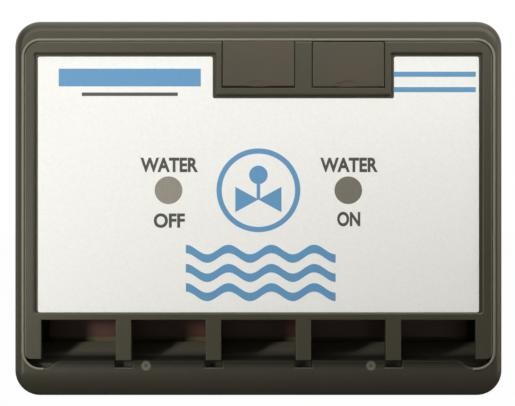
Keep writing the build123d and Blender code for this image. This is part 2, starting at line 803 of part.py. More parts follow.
# Resistors in a row, lying on the board
resistor_z = indicator_z - chip_row_pitch
with BuildPart() as resistors:
    resistor_xs = [resistor_spacing * (i - (resistor_count - 1) / 2) for i in range(resistor_count)]
    with BuildSketch(Plane.XY.offset(resistor_z - resistor_length / 2)):
        with Locations(*[(x, -board_front - resistor_radius) for x in resistor_xs]):
            Circle(resistor_radius)
    extrude(amount=resistor_length)
save(resistors.part, "resistors")

# Diodes across the relay coils
diode_x = relay_x + relay_width / 2 + 2 * diode_radius
with BuildPart() as diodes:
    for diode_z in relay_zs.values():
        with BuildSketch(Plane.XY.offset(diode_z - diode_length / 2)):
            with Locations((diode_x, -board_front - diode_radius)):
                Circle(diode_radius)
        extrude(amount=diode_length)
save(diodes.part, "diodes")

# Relay driver transistors, half-round bodies on three legs
transistor_x = diode_x + diode_radius + part_gap / 2 + transistor_radius
with BuildPart() as driver_transistors:
    transistor_points = [(transistor_x, z) for z in relay_zs.values()]
    with BuildSketch(Plane.XZ.offset(board_front + transistor_lift)):
        with Locations(*transistor_points):
            Circle(transistor_radius)
        with Locations(*[(x, z - 1.5 * transistor_radius) for x, z in transistor_points]):
            Rectangle(2 * transistor_radius, 2 * transistor_radius, mode=Mode.SUBTRACT)
    extrude(amount=transistor_height)
    with BuildSketch(Plane.XZ.offset(board_front)):
        for x, z in transistor_points:
            with Locations((x, z)):
                with GridLocations(2 * transistor_leg_width, 1, 3, 1):
                    Rectangle(transistor_leg_width, transistor_leg_width)
    extrude(amount=transistor_lift)
save(driver_transistors.part, "driver_transistors")

# Resettable fuse: an upright disc on two legs
fuse_z = resistor_z - fuse_thickness / 2
with BuildPart() as resettable_fuse:
    with BuildSketch(Plane.XY.offset(fuse_z - fuse_thickness / 2)):
        with Locations((opening_pitch, -board_front - fuse_lift - fuse_radius)):
            Circle(fuse_radius)
    extrude(amount=fuse_thickness)
    with BuildSketch(Plane.XZ.offset(board_front)):
        with Locations((opening_pitch, fuse_z)):
            with GridLocations(fuse_radius, 1, 2, 1):
                Rectangle(transistor_leg_width, transistor_leg_width)
    extrude(amount=fuse_lift + fuse_radius)
save(resettable_fuse.part, "resettable_fuse")

# Programming header: an upright row of square pins between the microcontroller and a lamp
header_x = (chip_length / 2 + opening_pitch - led_flange_radius) / 2
with BuildPart() as pin_header:
    with BuildSketch(Plane.XZ.offset(board_front)):
        with Locations((header_x, chip_z)):
            Rectangle(header_pitch, header_ways * header_pitch)
    extrude(amount=header_pitch)
    with BuildSketch(Plane.XZ.offset(board_front)):
        with Locations((header_x, chip_z)):
            with GridLocations(1, header_pitch, 1, header_ways):
                Rectangle(header_pin_width, header_pin_width)
    extrude(amount=header_pin_height)
save(pin_header.part, "pin_header")
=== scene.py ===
# %% [markdown]
# # A leak detection controller, dressed for a studio picture
# The real object is a small wall box: a charcoal moulded case, a face panel with a comb of cable
# openings at its foot, a silver-white printed label and two smoked status lenses. Its solids come
# from CAD in metres and stay as they are. What is left to do here is the part that a picture lives
# on: the finish of each plastic and metal, the ink on the label, and the light.

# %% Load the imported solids
import math

import bpy
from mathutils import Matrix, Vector


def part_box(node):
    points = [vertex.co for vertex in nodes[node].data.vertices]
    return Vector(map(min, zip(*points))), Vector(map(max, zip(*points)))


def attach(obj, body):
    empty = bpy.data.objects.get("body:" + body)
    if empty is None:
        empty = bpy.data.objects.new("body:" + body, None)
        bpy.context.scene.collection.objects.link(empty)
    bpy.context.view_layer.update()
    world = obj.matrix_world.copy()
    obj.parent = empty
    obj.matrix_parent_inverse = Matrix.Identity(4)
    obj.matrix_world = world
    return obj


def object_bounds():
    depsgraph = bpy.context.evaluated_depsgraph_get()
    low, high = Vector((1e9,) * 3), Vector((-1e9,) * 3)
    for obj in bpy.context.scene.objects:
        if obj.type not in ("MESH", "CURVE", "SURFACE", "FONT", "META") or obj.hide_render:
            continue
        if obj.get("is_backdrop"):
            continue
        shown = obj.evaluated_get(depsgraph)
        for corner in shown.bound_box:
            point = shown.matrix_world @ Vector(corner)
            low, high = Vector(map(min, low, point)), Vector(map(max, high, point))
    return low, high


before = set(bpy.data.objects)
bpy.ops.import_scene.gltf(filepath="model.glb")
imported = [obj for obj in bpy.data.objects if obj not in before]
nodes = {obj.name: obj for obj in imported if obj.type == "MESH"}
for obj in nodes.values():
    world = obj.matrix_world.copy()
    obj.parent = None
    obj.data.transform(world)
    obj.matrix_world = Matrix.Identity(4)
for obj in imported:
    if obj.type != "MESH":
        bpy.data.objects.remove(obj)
cad_low, cad_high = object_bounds()
MM = 0.001
print("nodes", len(nodes), "case in mm", [round(side / MM, 1) for side in cad_high - cad_low])

# %% [markdown]
# ## Helpers for colour and nodes
# Colours are easiest to read as sRGB hex values, but shader sockets hold linear light, so one function
# converts them. A second function adds a node, sets its values and links its inputs, which keeps
# every material down to a few readable lines. Some nodes have several sockets of one name, so a
# socket is looked up by its identifier first.


# %% Colour and node helpers
def linear(hex_colour):
    """Turn an sRGB hex colour into linear RGBA."""
    channels = [int(hex_colour[i : i + 2], 16) / 255 for i in (1, 3, 5)]
    return [c / 12.92 if c <= 0.04045 else ((c + 0.055) / 1.055) ** 2.4 for c in channels] + [1.0]


def socket(sockets, key):
    """The socket with this identifier, or else with this name."""
    return next((s for s in sockets if s.identifier == key), None) or sockets[key]


def add_node(tree, kind, inputs=None, **settings):
    """Add a node, set its properties, and give each named input a value or a link."""
    node = tree.nodes.new(kind)
    for name, value in settings.items():
        setattr(node, name, value)
    for key, value in (inputs or {}).items():
        if isinstance(value, bpy.types.NodeSocket):
            tree.links.new(value, socket(node.inputs, key))
        else:
            socket(node.inputs, key).default_value = value
    return node


print("charcoal in linear light", [round(c, 3) for c in linear("#2d2e23")])

# %% [markdown]
# ## Starting and handing out a material
# Every finish below starts the same way: an empty node tree, an output, and Object coordinates. A CAD
# node sits at the origin, so its Object coordinates are metres in the object's own frame, and a
# pattern or a mask can be placed by measured sizes. Dressing a node swaps its material and
# leaves its mesh alone.


# %% Start a material, dress a node
def start_material(name):
    """An empty node material: its tree, its Object coordinates and its surface socket."""
    material = bpy.data.materials.new(name)
    material.use_nodes = True
    tree = material.node_tree
    tree.nodes.clear()
    surface = add_node(tree, "ShaderNodeOutputMaterial").inputs["Surface"]
    coords = add_node(tree, "ShaderNodeTexCoord").outputs["Object"]
    return material, tree, coords, surface


def dress(material, *names):
    """Give CAD nodes their finish."""
    for name in names:
        mesh = nodes[name].data
        mesh.materials.clear()
        mesh.materials.append(material)
    print(material.name, "on", len(names), "nodes")


# %% [markdown]
# ## Charcoal ABS
# The case, panel, plugs and back plate are injection-moulded ABS with a fine spark-eroded texture.
# To the eye that is a dark, slightly warm grey with a broad soft sheen. One flat grey would look like
# rubber, so the colour drifts between two close tones, the roughness varies a little, and a fine
# bump breaks up the reflections. The real grit is about 0.1 mm; it is drawn at 0.5 mm, because
# anything finer would vanish between the picture's pixels. Marks come later: a colour with a mask
# function that says where it lies. Some are the plastic's own colour, others are painted highlight
# and painted shade, and a painted shade can also take the sheen away.

# %% Charcoal ABS
GRIT = 0.5 * MM
GRIT_HEIGHT = 0.1 * MM
DRIFT = 12 * MM
ABS_IOR = 1.58
ABS_ROUGHNESS = (0.36, 0.5)
SHEEN, SHADED_SHEEN = 0.5, 0.05
WARM_SHEEN = "#fff7e4"


def moulded_abs(name, dark, light, marks=(), sheen_shade=None):
    """Moulded ABS between two tones, with (colour, mask) marks on it, and little sheen where a painted
    shade lies.
    """
    material, tree, coords, surface = start_material(name)
    drift = add_node(tree, "ShaderNodeTexNoise", {"Vector": coords, "Scale": 1 / DRIFT, "Detail": 2.0})
    grit = add_node(tree, "ShaderNodeTexNoise", {"Vector": coords, "Scale": 1 / GRIT, "Detail": 2.0})
    tone = add_node(
        tree,
        "ShaderNodeMix",
        {"Factor_Float": drift.outputs["Fac"], "A_Color": linear(dark), "B_Color": linear(light)},
        data_type="RGBA",
    )
    colour = socket(tone.outputs, "Result_Color")
    for mark, mask in marks:
        marked = add_node(
            tree,
            "ShaderNodeMix",
            {"Factor_Float": mask(tree, coords), "A_Color": colour, "B_Color": linear(mark)},
            data_type="RGBA",
        )
        colour = socket(marked.outputs, "Result_Color")
    sheen = SHEEN
    # A painted shade takes most of the sheen away as well.
    if sheen_shade:
        lost = add_node(
            tree,
            "ShaderNodeMapRange",
            {"Value": sheen_shade(tree, coords), "To Min": SHEEN, "To Max": SHADED_SHEEN},
        )
        sheen = lost.outputs["Result"]
    roughness = add_node(
        tree,
        "ShaderNodeMapRange",
        {"Value": grit.outputs["Fac"], "To Min": ABS_ROUGHNESS[0], "To Max": ABS_ROUGHNESS[1]},
    )
    bump = add_node(
        tree,
        "ShaderNodeBump",
        {"Height": grit.outputs["Fac"], "Strength": 0.12, "Distance": GRIT_HEIGHT},
    )
    plastic = add_node(
        tree,
        "ShaderNodeBsdfPrincipled",
        {
            "Base Color": colour,
            "Roughness": roughness.outputs["Result"],
            "IOR": ABS_IOR,
            "Specular IOR Level": sheen,
            "Specular Tint": linear(WARM_SHEEN),
            "Normal": bump.outputs["Normal"],
        },
    )
    tree.links.new(plastic.outputs["BSDF"], surface)
    return material


# The plugs are a shade lighter and warmer than the panel.
PLUG_TONES = ("#3b392d", "#443b32")
dress(moulded_abs("charcoal_abs", *PLUG_TONES), "blanking_plug_left", "blanking_plug_right")

# %% [markdown]
# ## Painted highlight on the face panel's edges
# The panel's outer edge is painted a paler grey: a painted highlight that carries the crest's line on
# and lightens the shade in the seam beside it. A bevel or pointiness trick would find every edge, but
# only the outer one is painted. The panel is a plain rectangle on the outside, so two ramps do it, one
# near its side and one near its top. An absolute value folds left onto right first.

# %% Panel with a painted highlight on its edges
PANEL_TONES = ("#343529", "#3d372d")
# A pale grey, for the gates' whitened plastic and for painted highlights.
PALE_WEAR_AND_HIGHLIGHT = "#757264"
EDGE = 0.3 * MM
panel_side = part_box("face_panel")[1][0]
PANEL_TOP = 43.43 * MM  # the panel's own edge, because its snap hooks reach higher


def edge_painted_highlight(tree, coords):
    """One along the top and side edges of the face panel, where a highlight is painted, and nought
    elsewhere.
    """
    folded = add_node(tree, "ShaderNodeVectorMath", {"Vector": coords}, operation="ABSOLUTE")
    across = add_node(tree, "ShaderNodeSeparateXYZ", {"Vector": folded.outputs["Vector"]})
    edge_bright = []
    for axis, edge in (("X", panel_side), ("Z", PANEL_TOP)):
        near_edge = add_node(
            tree,
            "ShaderNodeMapRange",
            {"Value": across.outputs[axis], "From Min": edge - EDGE, "From Max": edge - EDGE / 3},
        )
        edge_bright.append(near_edge.outputs["Result"])
    either = add_node(tree, "ShaderNodeMath", {0: edge_bright[0], 1: edge_bright[1]}, operation="MAXIMUM")
    return either.outputs["Value"]


# The pale edge of the panel is a painted highlight.
dress(moulded_abs("charcoal_abs_edge_highlight", *PANEL_TONES, [(PALE_WEAR_AND_HIGHLIGHT, edge_painted_highlight)]), "face_panel")

# %% [markdown]
# ## Painted light on the cable ramp
# Below the board the back plate has a ramp that leads the cables in. Its upward slope is painted pale:
# painted light where light falls on it from above, so the Z part of the surface normal makes the mask.
# The low end of the ramp is kept dark as painted shade, so a second ramp on the height limits it.

# %% Back plate with painted light on the ramp
RAMP_LIGHT_COLOUR = "#a09c87"
RAMP_LIGHT_TILT = (0.3, 0.8)
RAMP_LIGHT_HEIGHT = (-39.2 * MM, -37.8 * MM)


def ramp_painted_light(tree, coords):
    """One on faces that look up, except low on the ramp, and nought elsewhere."""
    normal = add_node(tree, "ShaderNodeNewGeometry").outputs["Normal"]
    facing = add_node(tree, "ShaderNodeSeparateXYZ", {"Vector": normal})
    place = add_node(tree, "ShaderNodeSeparateXYZ", {"Vector": coords})
    faces_up = add_node(
        tree,
        "ShaderNodeMapRange",
        {"Value": facing.outputs["Z"], "From Min": RAMP_LIGHT_TILT[0], "From Max": RAMP_LIGHT_TILT[1]},
    )
    above_low_end = add_node(
        tree,
        "ShaderNodeMapRange",
        {"Value": place.outputs["Z"], "From Min": RAMP_LIGHT_HEIGHT[0], "From Max": RAMP_LIGHT_HEIGHT[1]},
    )
    kept = add_node(
        tree,
        "ShaderNodeMath",
        {0: faces_up.outputs["Result"], 1: above_low_end.outputs["Result"]},
        operation="MULTIPLY",
    )
    return kept.outputs["Value"]


# The pale ramp is painted light, and its dark low end is painted shade.
dress(moulded_abs("charcoal_abs_ramp_painted_light", "#2c2b23", "#302e27", [(RAMP_LIGHT_COLOUR, ramp_painted_light)]), "back_plate")

# %% [markdown]
# ## Gate marks on the shell's lip
# The shell's plastic was injected through two gates in the lip, and twisting the runners off left two
# small pale marks there. The dimples are in the solid; only their stressed, whitened skin is missing.
# A mask can do that without another mesh: fold the left side onto the right, then fade with the
# distance from one gate's centre. A second fade thins the mask in the middle, so a pale ring is left
# with painted shade for each dimple's hollow inside it.

# %% Gate marks as a mask
GATE_OUT = 29.27 * MM
GATE_Z = -40.9 * MM
GATE_RADIUS = 1.25 * MM


def gate_whitening_and_dimple_shade(tree, coords):
    """A ring inside each gate mark, fainter in its middle as painted shade of the dimple, and nought
    outside.
    """
    folded = add_node(tree, "ShaderNodeVectorMath", {"Vector": coords}, operation="ABSOLUTE")
    across = add_node(tree, "ShaderNodeSeparateXYZ", {"Vector": folded.outputs["Vector"]})
    upright = add_node(tree, "ShaderNodeSeparateXYZ", {"Vector": coords})
    spot = add_node(
        tree,
        "ShaderNodeCombineXYZ",
        {"X": across.outputs["X"], "Y": cad_low.y, "Z": upright.outputs["Z"]},
    )
    reach = add_node(
        tree,
        "ShaderNodeVectorMath",
        {0: spot.outputs["Vector"], 1: (GATE_OUT, cad_low.y, GATE_Z)},
        operation="DISTANCE",
    )
    fade = add_node(
        tree,
        "ShaderNodeMapRange",
        {
            "Value": reach.outputs["Value"],
            "From Min": 0.8 * GATE_RADIUS,
            "From Max": 1.15 * GATE_RADIUS,
            "To Min": 1.0,
            "To Max": 0.0,
        },
    )
    # The thinner middle is painted shade for the dimple's hollow.
    dimple_shade = add_node(
        tree,
        "ShaderNodeMapRange",
        {
            "Value": reach.outputs["Value"],
            "From Min": 0.2 * GATE_RADIUS,
            "From Max": 0.65 * GATE_RADIUS,
            "To Min": 0.3,
            "To Max": 0.8,
        },
    )
    both = add_node(
        tree,
        "ShaderNodeMath",
        {0: fade.outputs["Result"], 1: dimple_shade.outputs["Result"]},
        operation="MULTIPLY",
    )
    return both.outputs["Value"]


print("gate marks", round(2 * GATE_OUT / MM, 1), "mm apart")

# %% [markdown]
# ## Painted highlight on the crest, painted shade on the lip
# The bead round the opening is the foremost line of the case, and its crest is painted pale: a painted
# highlight for the light its rounded top catches. It is the only part of the shell in the front three
# tenths of a millimetre, so the depth alone picks it out. The top edge of the lip is painted dark and
# dull instead, as painted shade: a band that fades over two millimetres from that edge and stops short
# of the lip's ends. The same mask serves twice, for the dark colour and for the lost sheen.

# %% Shell with its marks and painted light
CREST_FROM = 0.27 * MM
CREST_FULL = 0.10 * MM
LIP_TOP = -39.5 * MM
LIP_HALF = 57 * MM
LIP_SHADE_FADE = 2.3 * MM
# A dark band of painted shade along the top edge of the lip.
LIP_SHADE_COLOUR = "#12130e"


def crest_painted_highlight(tree, coords):
    """One on the crest of the bead, the foremost part of the shell, where a highlight is painted."""
    depth = add_node(tree, "ShaderNodeSeparateXYZ", {"Vector": coords}).outputs["Y"]
    crest = add_node(
        tree,
        "ShaderNodeMapRange",
        {"Value": depth, "From Min": cad_low.y + CREST_FROM, "From Max": cad_low.y + CREST_FULL},
    )
    return crest.outputs["Result"]


def lip_painted_shade(tree, coords):
    """Nearly one along the top edge of the cable lip, where shade is painted, fading to nought below it
    and at its ends.
    """
    place = add_node(tree, "ShaderNodeSeparateXYZ", {"Vector": coords})
    above = add_node(tree, "ShaderNodeMath", {0: place.outputs["Z"], 1: LIP_TOP}, operation="SUBTRACT")
    away = add_node(tree, "ShaderNodeMath", {0: above.outputs["Value"]}, operation="ABSOLUTE")
    band = add_node(
        tree,
        "ShaderNodeMapRange",
        {"Value": away.outputs["Value"], "From Max": LIP_SHADE_FADE, "To Min": 0.9, "To Max": 0.0},
    )
    outward = add_node(tree, "ShaderNodeMath", {0: place.outputs["X"]}, operation="ABSOLUTE")
    within = add_node(
        tree,
        "ShaderNodeMapRange",
        {
            "Value": outward.outputs["Value"],
            "From Min": LIP_HALF - LIP_SHADE_FADE,
            "From Max": LIP_HALF,
            "To Min": 1.0,
            "To Max": 0.0,
        },
    )
    lip_shade = add_node(
        tree,
        "ShaderNodeMath",
        {0: band.outputs["Result"], 1: within.outputs["Result"]},
        operation="MULTIPLY",
    )
    return lip_shade.outputs["Value"]


# The crest's pale line is a painted highlight and the lip's dark band is painted shade; the gate marks are
# whitened plastic with painted shade in their middles.
shell_marks_and_painted_light = [(LIP_SHADE_COLOUR, lip_painted_shade), (PALE_WEAR_AND_HIGHLIGHT, gate_whitening_and_dimple_shade), (PALE_WEAR_AND_HIGHLIGHT, crest_painted_highlight)]
dress(moulded_abs("charcoal_abs_gates_and_painted_light", "#2d2e23", "#363128", shell_marks_and_painted_light, lip_painted_shade), "front_shell")

# %% [markdown]
# ## Label film
# The label is a polyester film with a silver-white satin print ground under a clear matt coat. It
# reads as nearly white paper with a faint metallic grain and a soft sheen. A metal shader would go
# dark against a dark room, so this is a dielectric with a very fine speckle in its colour and
# roughness. The flake is drawn at 0.6 mm so that it shows at all.

# %% Label film
FLAKE = 0.6 * MM


def label_film():
    """Silver-white satin film."""
    material, tree, coords, surface = start_material("satin_label_film")
    flake = add_node(tree, "ShaderNodeTexNoise", {"Vector": coords, "Scale": 1 / FLAKE, "Detail": 3.0})
    tone = add_node(
        tree,
        "ShaderNodeMix",
        {
            "Factor_Float": flake.outputs["Fac"],
            "A_Color": linear("#e6e6e0"),
            "B_Color": linear("#f4f3ee"),
        },
        data_type="RGBA",
    )
    roughness = add_node(
        tree, "ShaderNodeMapRange", {"Value": flake.outputs["Fac"], "To Min": 0.3, "To Max": 0.45}
    )
    film = add_node(
        tree,
        "ShaderNodeBsdfPrincipled",
        {
            "Base Color": socket(tone.outputs, "Result_Color"),
            "Roughness": roughness.outputs["Result"],
            "IOR": 1.5,
        },
    )
    tree.links.new(film.outputs["BSDF"], surface)
    return material


dress(label_film(), "label_overlay")

# %% [markdown]
# ## Small parts
# Everything else is a handful of ordinary finishes: smoked polycarbonate lenses, moulded terminal
# plastic, zinc-plated steel, tinned brass, epoxy, lacquer. They share one recipe: two close tones
# mixed by noise at a size that suits the finish, and a roughness that follows the same noise.
# Only the numbers differ, so one function makes them all.


# %% A recipe for small parts
def plain_finish(name, dark, light, grain, rough_min, rough_max, metallic=0.0):
    """Two close tones mixed by noise of a given grain, with a roughness that follows it."""
    material, tree, coords, surface = start_material(name)
    noise = add_node(tree, "ShaderNodeTexNoise", {"Vector": coords, "Scale": 1 / grain, "Detail": 2.0})
    tone = add_node(
        tree,
        "ShaderNodeMix",
        {"Factor_Float": noise.outputs["Fac"], "A_Color": linear(dark), "B_Color": linear(light)},
        data_type="RGBA",
    )
    roughness = add_node(
        tree,
        "ShaderNodeMapRange",
        {"Value": noise.outputs["Fac"], "To Min": rough_min, "To Max": rough_max},
    )
    finish = add_node(
        tree,
        "ShaderNodeBsdfPrincipled",
        {
            "Base Color": socket(tone.outputs, "Result_Color"),
            "Roughness": roughness.outputs["Result"],
            "Metallic": metallic,
            "IOR": 1.5,
        },
    )
    tree.links.new(finish.outputs["BSDF"], surface)
    return material


# %% [markdown]
# ## Lenses and terminals
# The two lenses are frosted, smoked polycarbonate, and the left one reads paler than the right. Clear
# glass with a lamp behind it would be another way, but the lamps are off and the frosting hides them,
# so an opaque finish looks the same and renders faster. The terminals are polyamide blocks with plated
# clamps and screws. A plated metal needs full metallic and a low roughness, and its colour is the
# tint of its reflection.

# %% Lenses and terminals
smoke_pale = plain_finish("smoked_polycarbonate_pale", "#867f73", "#968f82", 0.8 * MM, 0.4, 0.55)
smoke_dark = plain_finish("smoked_polycarbonate_dark", "#6b665b", "#7a7468", 0.8 * MM, 0.4, 0.55)
polyamide = plain_finish("terminal_polyamide", "#1c1d1c", "#242524", 0.6 * MM, 0.4, 0.5)
zinc = plain_finish("zinc_plated_steel", "#a4a6a3", "#c2c3bd", 0.5 * MM, 0.25, 0.4, metallic=1.0)
tin = plain_finish("tinned_brass", "#b9b29b", "#cfc9b6", 0.5 * MM, 0.25, 0.4, metallic=1.0)
dress(smoke_pale, "indicator_lens_off")
dress(smoke_dark, "indicator_lens_on")
dress(polyamide, *[f"terminal_block_{number}" for number in range(1, 6)])
dress(zinc, "case_screws", "board_screws", "terminal_screws")
dress(tin, "wire_clamps", "pin_header")

# %% [markdown]
# ## Parts on the board
# Most of these are hidden behind the label, but anyone who takes the panel off sees them, so each has the
# finish it would have: black moulded epoxy on the chips, a nickel can on the crystal, shrink sleeve
# on the capacitors, tinted epoxy on the lamps, lacquer on the resistors and a dipped coat on the fuse.

# %% Parts on the board
relay_case = plain_finish("relay_case_plastic", "#20242a", "#2a2e34", 0.8 * MM, 0.35, 0.45)
epoxy = plain_finish("moulded_epoxy", "#1b1b1b", "#262626", 0.3 * MM, 0.55, 0.7)
nickel = plain_finish("nickel_plated_can", "#b4b1a6", "#c9c6bc", 0.4 * MM, 0.2, 0.3, metallic=1.0)
sleeve = plain_finish("capacitor_shrink_sleeve", "#15151d", "#1f1f29", 1.0 * MM, 0.25, 0.35)
red_lamp = plain_finish("red_lamp_epoxy", "#8f1510", "#b02018", 1.0 * MM, 0.15, 0.25)
green_lamp = plain_finish("green_lamp_epoxy", "#1f7a2c", "#2f9440", 1.0 * MM, 0.15, 0.25)
lacquer = plain_finish("resistor_lacquer", "#b08d5e", "#c4a373", 0.6 * MM, 0.35, 0.5)
fuse_coat = plain_finish("fuse_dipped_epoxy", "#c68a16", "#d89c22", 0.8 * MM, 0.25, 0.4)
dress(relay_case, "valve_relay_open", "valve_relay_close")
dress(epoxy, "microcontroller", "voltage_regulator", "driver_transistors", "diodes")
dress(nickel, "crystal")
dress(sleeve, "supply_capacitor", "output_capacitor")
dress(red_lamp, "led_off")
dress(green_lamp, "led_on")
dress(lacquer, "resistors")
dress(fuse_coat, "resettable_fuse")

# %% [markdown]
# ## Circuit board
# Through the cable openings a strip of the board shows: dull red solder mask over copper, which
# stops short of the sawn edge and leaves a millimetre of bare olive laminate. The height
# above the board's lower edge tells mask from margin, so a sharp step on the Z coordinate is enough.

# %% Circuit board
BARE_MARGIN = 1.25 * MM
MARGIN_BLUR = 0.1 * MM
MASK_BLOTCH = 3 * MM


def red_board():
    """Red solder mask with a bare margin along the lower edge."""
    material, tree, coords, surface = start_material("red_solder_mask")
    margin_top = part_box("circuit_board")[0][2] + BARE_MARGIN
    height = add_node(tree, "ShaderNodeSeparateXYZ", {"Vector": coords}).outputs["Z"]
    masked = add_node(
        tree,
        "ShaderNodeMapRange",
        {"Value": height, "From Min": margin_top - MARGIN_BLUR, "From Max": margin_top + MARGIN_BLUR},
    )
    blotch = add_node(
        tree, "ShaderNodeTexNoise", {"Vector": coords, "Scale": 1 / MASK_BLOTCH, "Detail": 2.0}
    )
    mask = add_node(
        tree,
        "ShaderNodeMix",
        {
            "Factor_Float": blotch.outputs["Fac"],
            "A_Color": linear("#64392c"),
            "B_Color": linear("#754536"),
        },
        data_type="RGBA",
    )
    colour = add_node(
        tree,
        "ShaderNodeMix",
        {
            "Factor_Float": masked.outputs["Result"],
            "A_Color": linear("#7a7048"),
            "B_Color": socket(mask.outputs, "Result_Color"),
        },
        data_type="RGBA",
    )
    roughness = add_node(
        tree, "ShaderNodeMapRange", {"Value": masked.outputs["Result"], "To Min": 0.7, "To Max": 0.35}
    )
    board = add_node(
        tree,
        "ShaderNodeBsdfPrincipled",
        {
            "Base Color": socket(colour.outputs, "Result_Color"),
            "Roughness": roughness.outputs["Result"],
            "IOR": 1.5,
        },
    )
    tree.links.new(board.outputs["BSDF"], surface)
    return material


dress(red_board(), "circuit_board")

# %% [markdown]
# ## Ink on the label
# The label is screen printed in a sky blue and a dark grey. Ink is a film a few hundredths of a
# millimetre thick, so each print is a flat mesh laid just in front of the label. Flat shapes are drawn
# in a plane of their own, across and up, and one function stands them up on the label.

# %% Inks and a way to lay a print down
INK_LIFT = 0.03 * MM
ink_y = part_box("label_overlay")[0][1] - INK_LIFT
blue_ink = plain_finish("sky_blue_ink", "#578eb6", "#6298c0", 0.6 * MM, 0.4, 0.5)
grey_ink = plain_finish("dark_grey_ink", "#45453f", "#504f49", 0.6 * MM, 0.4, 0.5)


def lay_print(name, points, faces, ink):
    """Lay flat (across, up) points on the label as one printed piece facing the front."""
    mesh = bpy.data.meshes.new(name)
    mesh.from_pydata([(x, ink_y, z) for x, z in points], [], faces)
    mesh.materials.append(ink)
    piece = bpy.data.objects.new(name, mesh)
    bpy.context.scene.collection.objects.link(piece)
    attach(piece, "root")
    print(name, "faces", len(faces))


# %% [markdown]
# ## Legends
# Each lens has a word above it and a state below it in bold condensed capitals. Blender's own font
# is lighter and wider, so the outline is thickened with the curve's offset, the text is turned into
# a mesh, and its points are then scaled to the measured width and capital height. The places are
# measured from the middle of each lens.

# %% Legends over and under the lenses
CAPITAL = 3.8 * MM
BOLDER = 0.034
WORD_WIDTH = 15.0 * MM
WORD_ABOVE = 6.6 * MM
NUDGE = 0.2 * MM
lens_boxes = [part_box(name) for name in ("indicator_lens_off", "indicator_lens_on")]
off_x, on_x = [(low[0] + high[0]) / 2 for low, high in lens_boxes]
lens_z = (lens_boxes[0][0][2] + lens_boxes[0][1][2]) / 2


def legend(name, words, x, z, width):
    """Print words centred on (x, z) at a given width."""
    curve = bpy.data.curves.new(name, "FONT")
    curve.body = words
    curve.offset = BOLDER
    curve.resolution_u = 6
    carrier = bpy.data.objects.new(name, curve)
    bpy.context.scene.collection.objects.link(carrier)
    evaluated = carrier.evaluated_get(bpy.context.evaluated_depsgraph_get())
    flat = bpy.data.meshes.new_from_object(evaluated)
    bpy.data.objects.remove(carrier)
    points = [v.co.xy for v in flat.vertices]
    low = Vector((min(p.x for p in points), min(p.y for p in points)))
    high = Vector((max(p.x for p in points), max(p.y for p in points)))
    middle = (low + high) / 2
    across = width / (high.x - low.x)
    up = CAPITAL / (high.y - low.y)
    placed = [(x + (p.x - middle.x) * across, z + (p.y - middle.y) * up) for p in points]
    lay_print(name, placed, [list(face.vertices) for face in flat.polygons], grey_ink)


legend("print_water_off_top", "WATER", off_x + NUDGE, lens_z + WORD_ABOVE, WORD_WIDTH)
legend("print_water_on_top", "WATER", on_x + NUDGE, lens_z + WORD_ABOVE, WORD_WIDTH)
legend("print_water_off_state", "OFF", off_x + NUDGE, lens_z - 7.9 * MM, 8.1 * MM)
legend("print_water_on_state", "ON", on_x + NUDGE / 2, lens_z - 7.5 * MM, 6.0 * MM)

# %% [markdown]
# ## Valve sign in a ring
# Between the lenses stands a sign for what the box controls. It is the common drawing symbol of a
# motorised shut-off valve: two triangles point to point, a stem, and a round actuator on top, inside
# a ring. The ring is a strip of faces between two circles of points, and the actuator is one face.
# Pieces in one plane must meet and not overlap, or they flicker, so the stem's foot follows the triangles.

# %% Ring round the sign
RING_RADIUS = 10.9 * MM
RING_LINE = 1.35 * MM
TURN = 96


def circle_points(z, radius):
    """Points round a circle whose centre is at height z on the label's middle line."""
    angles = [2 * math.pi * i / TURN for i in range(TURN)]
    return [(radius * math.cos(angle), z + radius * math.sin(angle)) for angle in angles]


ring_points = circle_points(lens_z, RING_RADIUS) + circle_points(lens_z, RING_RADIUS - RING_LINE)
ring_faces = [(i, (i + 1) % TURN, TURN + (i + 1) % TURN, TURN + i) for i in range(TURN)]
lay_print("print_sign_ring", ring_points, ring_faces, blue_ink)

# %% Valve and actuator
VALVE_HALF = 6.0 * MM
VALVE_RISE = 3.3 * MM
VALVE_DROP = 2.4 * MM
STEM_HALF = 0.45 * MM
STEM_LENGTH = 4.0 * MM
ACTUATOR_RADIUS = 2.4 * MM
valve_z = lens_z - VALVE_DROP
stem_foot = valve_z + STEM_HALF * VALVE_RISE / VALVE_HALF
stem_top = valve_z + STEM_LENGTH
valve_points = [
    (-VALVE_HALF, valve_z + VALVE_RISE),
    (-VALVE_HALF, valve_z - VALVE_RISE),
    (0, valve_z),
    (VALVE_HALF, valve_z - VALVE_RISE),
    (VALVE_HALF, valve_z + VALVE_RISE),
    (STEM_HALF, stem_foot),
    (STEM_HALF, stem_top),
    (-STEM_HALF, stem_top),
    (-STEM_HALF, stem_foot),
]
lay_print("print_sign_valve", valve_points, [(0, 1, 2), (2, 3, 4), (2, 5, 6, 7, 8)], blue_ink)
actuator_points = circle_points(stem_top + ACTUATOR_RADIUS, ACTUATOR_RADIUS)
lay_print("print_sign_actuator", actuator_points, [tuple(range(TURN))], blue_ink)

# %% [markdown]
# ## Water lines
# The lower middle of the label carries three water lines in blue. A repeated line that follows a rule
# is a job for Geometry Nodes: a flat grid is bent into a wave with a sine of its own length, and
# instances on a column of points repeat it. The tree has named inputs for its sizes. It ends in
# Realize Instances and Set Material, because the export keeps plain meshes only.

# %% Wave lines: the inputs of the tree
WATER_SIZES = {
    "Length": 39.0 * MM,
    "Line": 2.2 * MM,
    "Swing": 1.25 * MM,
    "Waves": 3.5,
    "Spacing": 5.0 * MM,
}
tree = bpy.data.node_groups.new("water_lines", "GeometryNodeTree")
tree.interface.new_socket("Geometry", in_out="OUTPUT", socket_type="NodeSocketGeometry")
identifiers = {}
for label in WATER_SIZES:
    size = tree.interface.new_socket(label, in_out="INPUT", socket_type="NodeSocketFloat")
    identifiers[label] = size.identifier
given = add_node(tree, "NodeGroupInput")
print("water lines", identifiers)

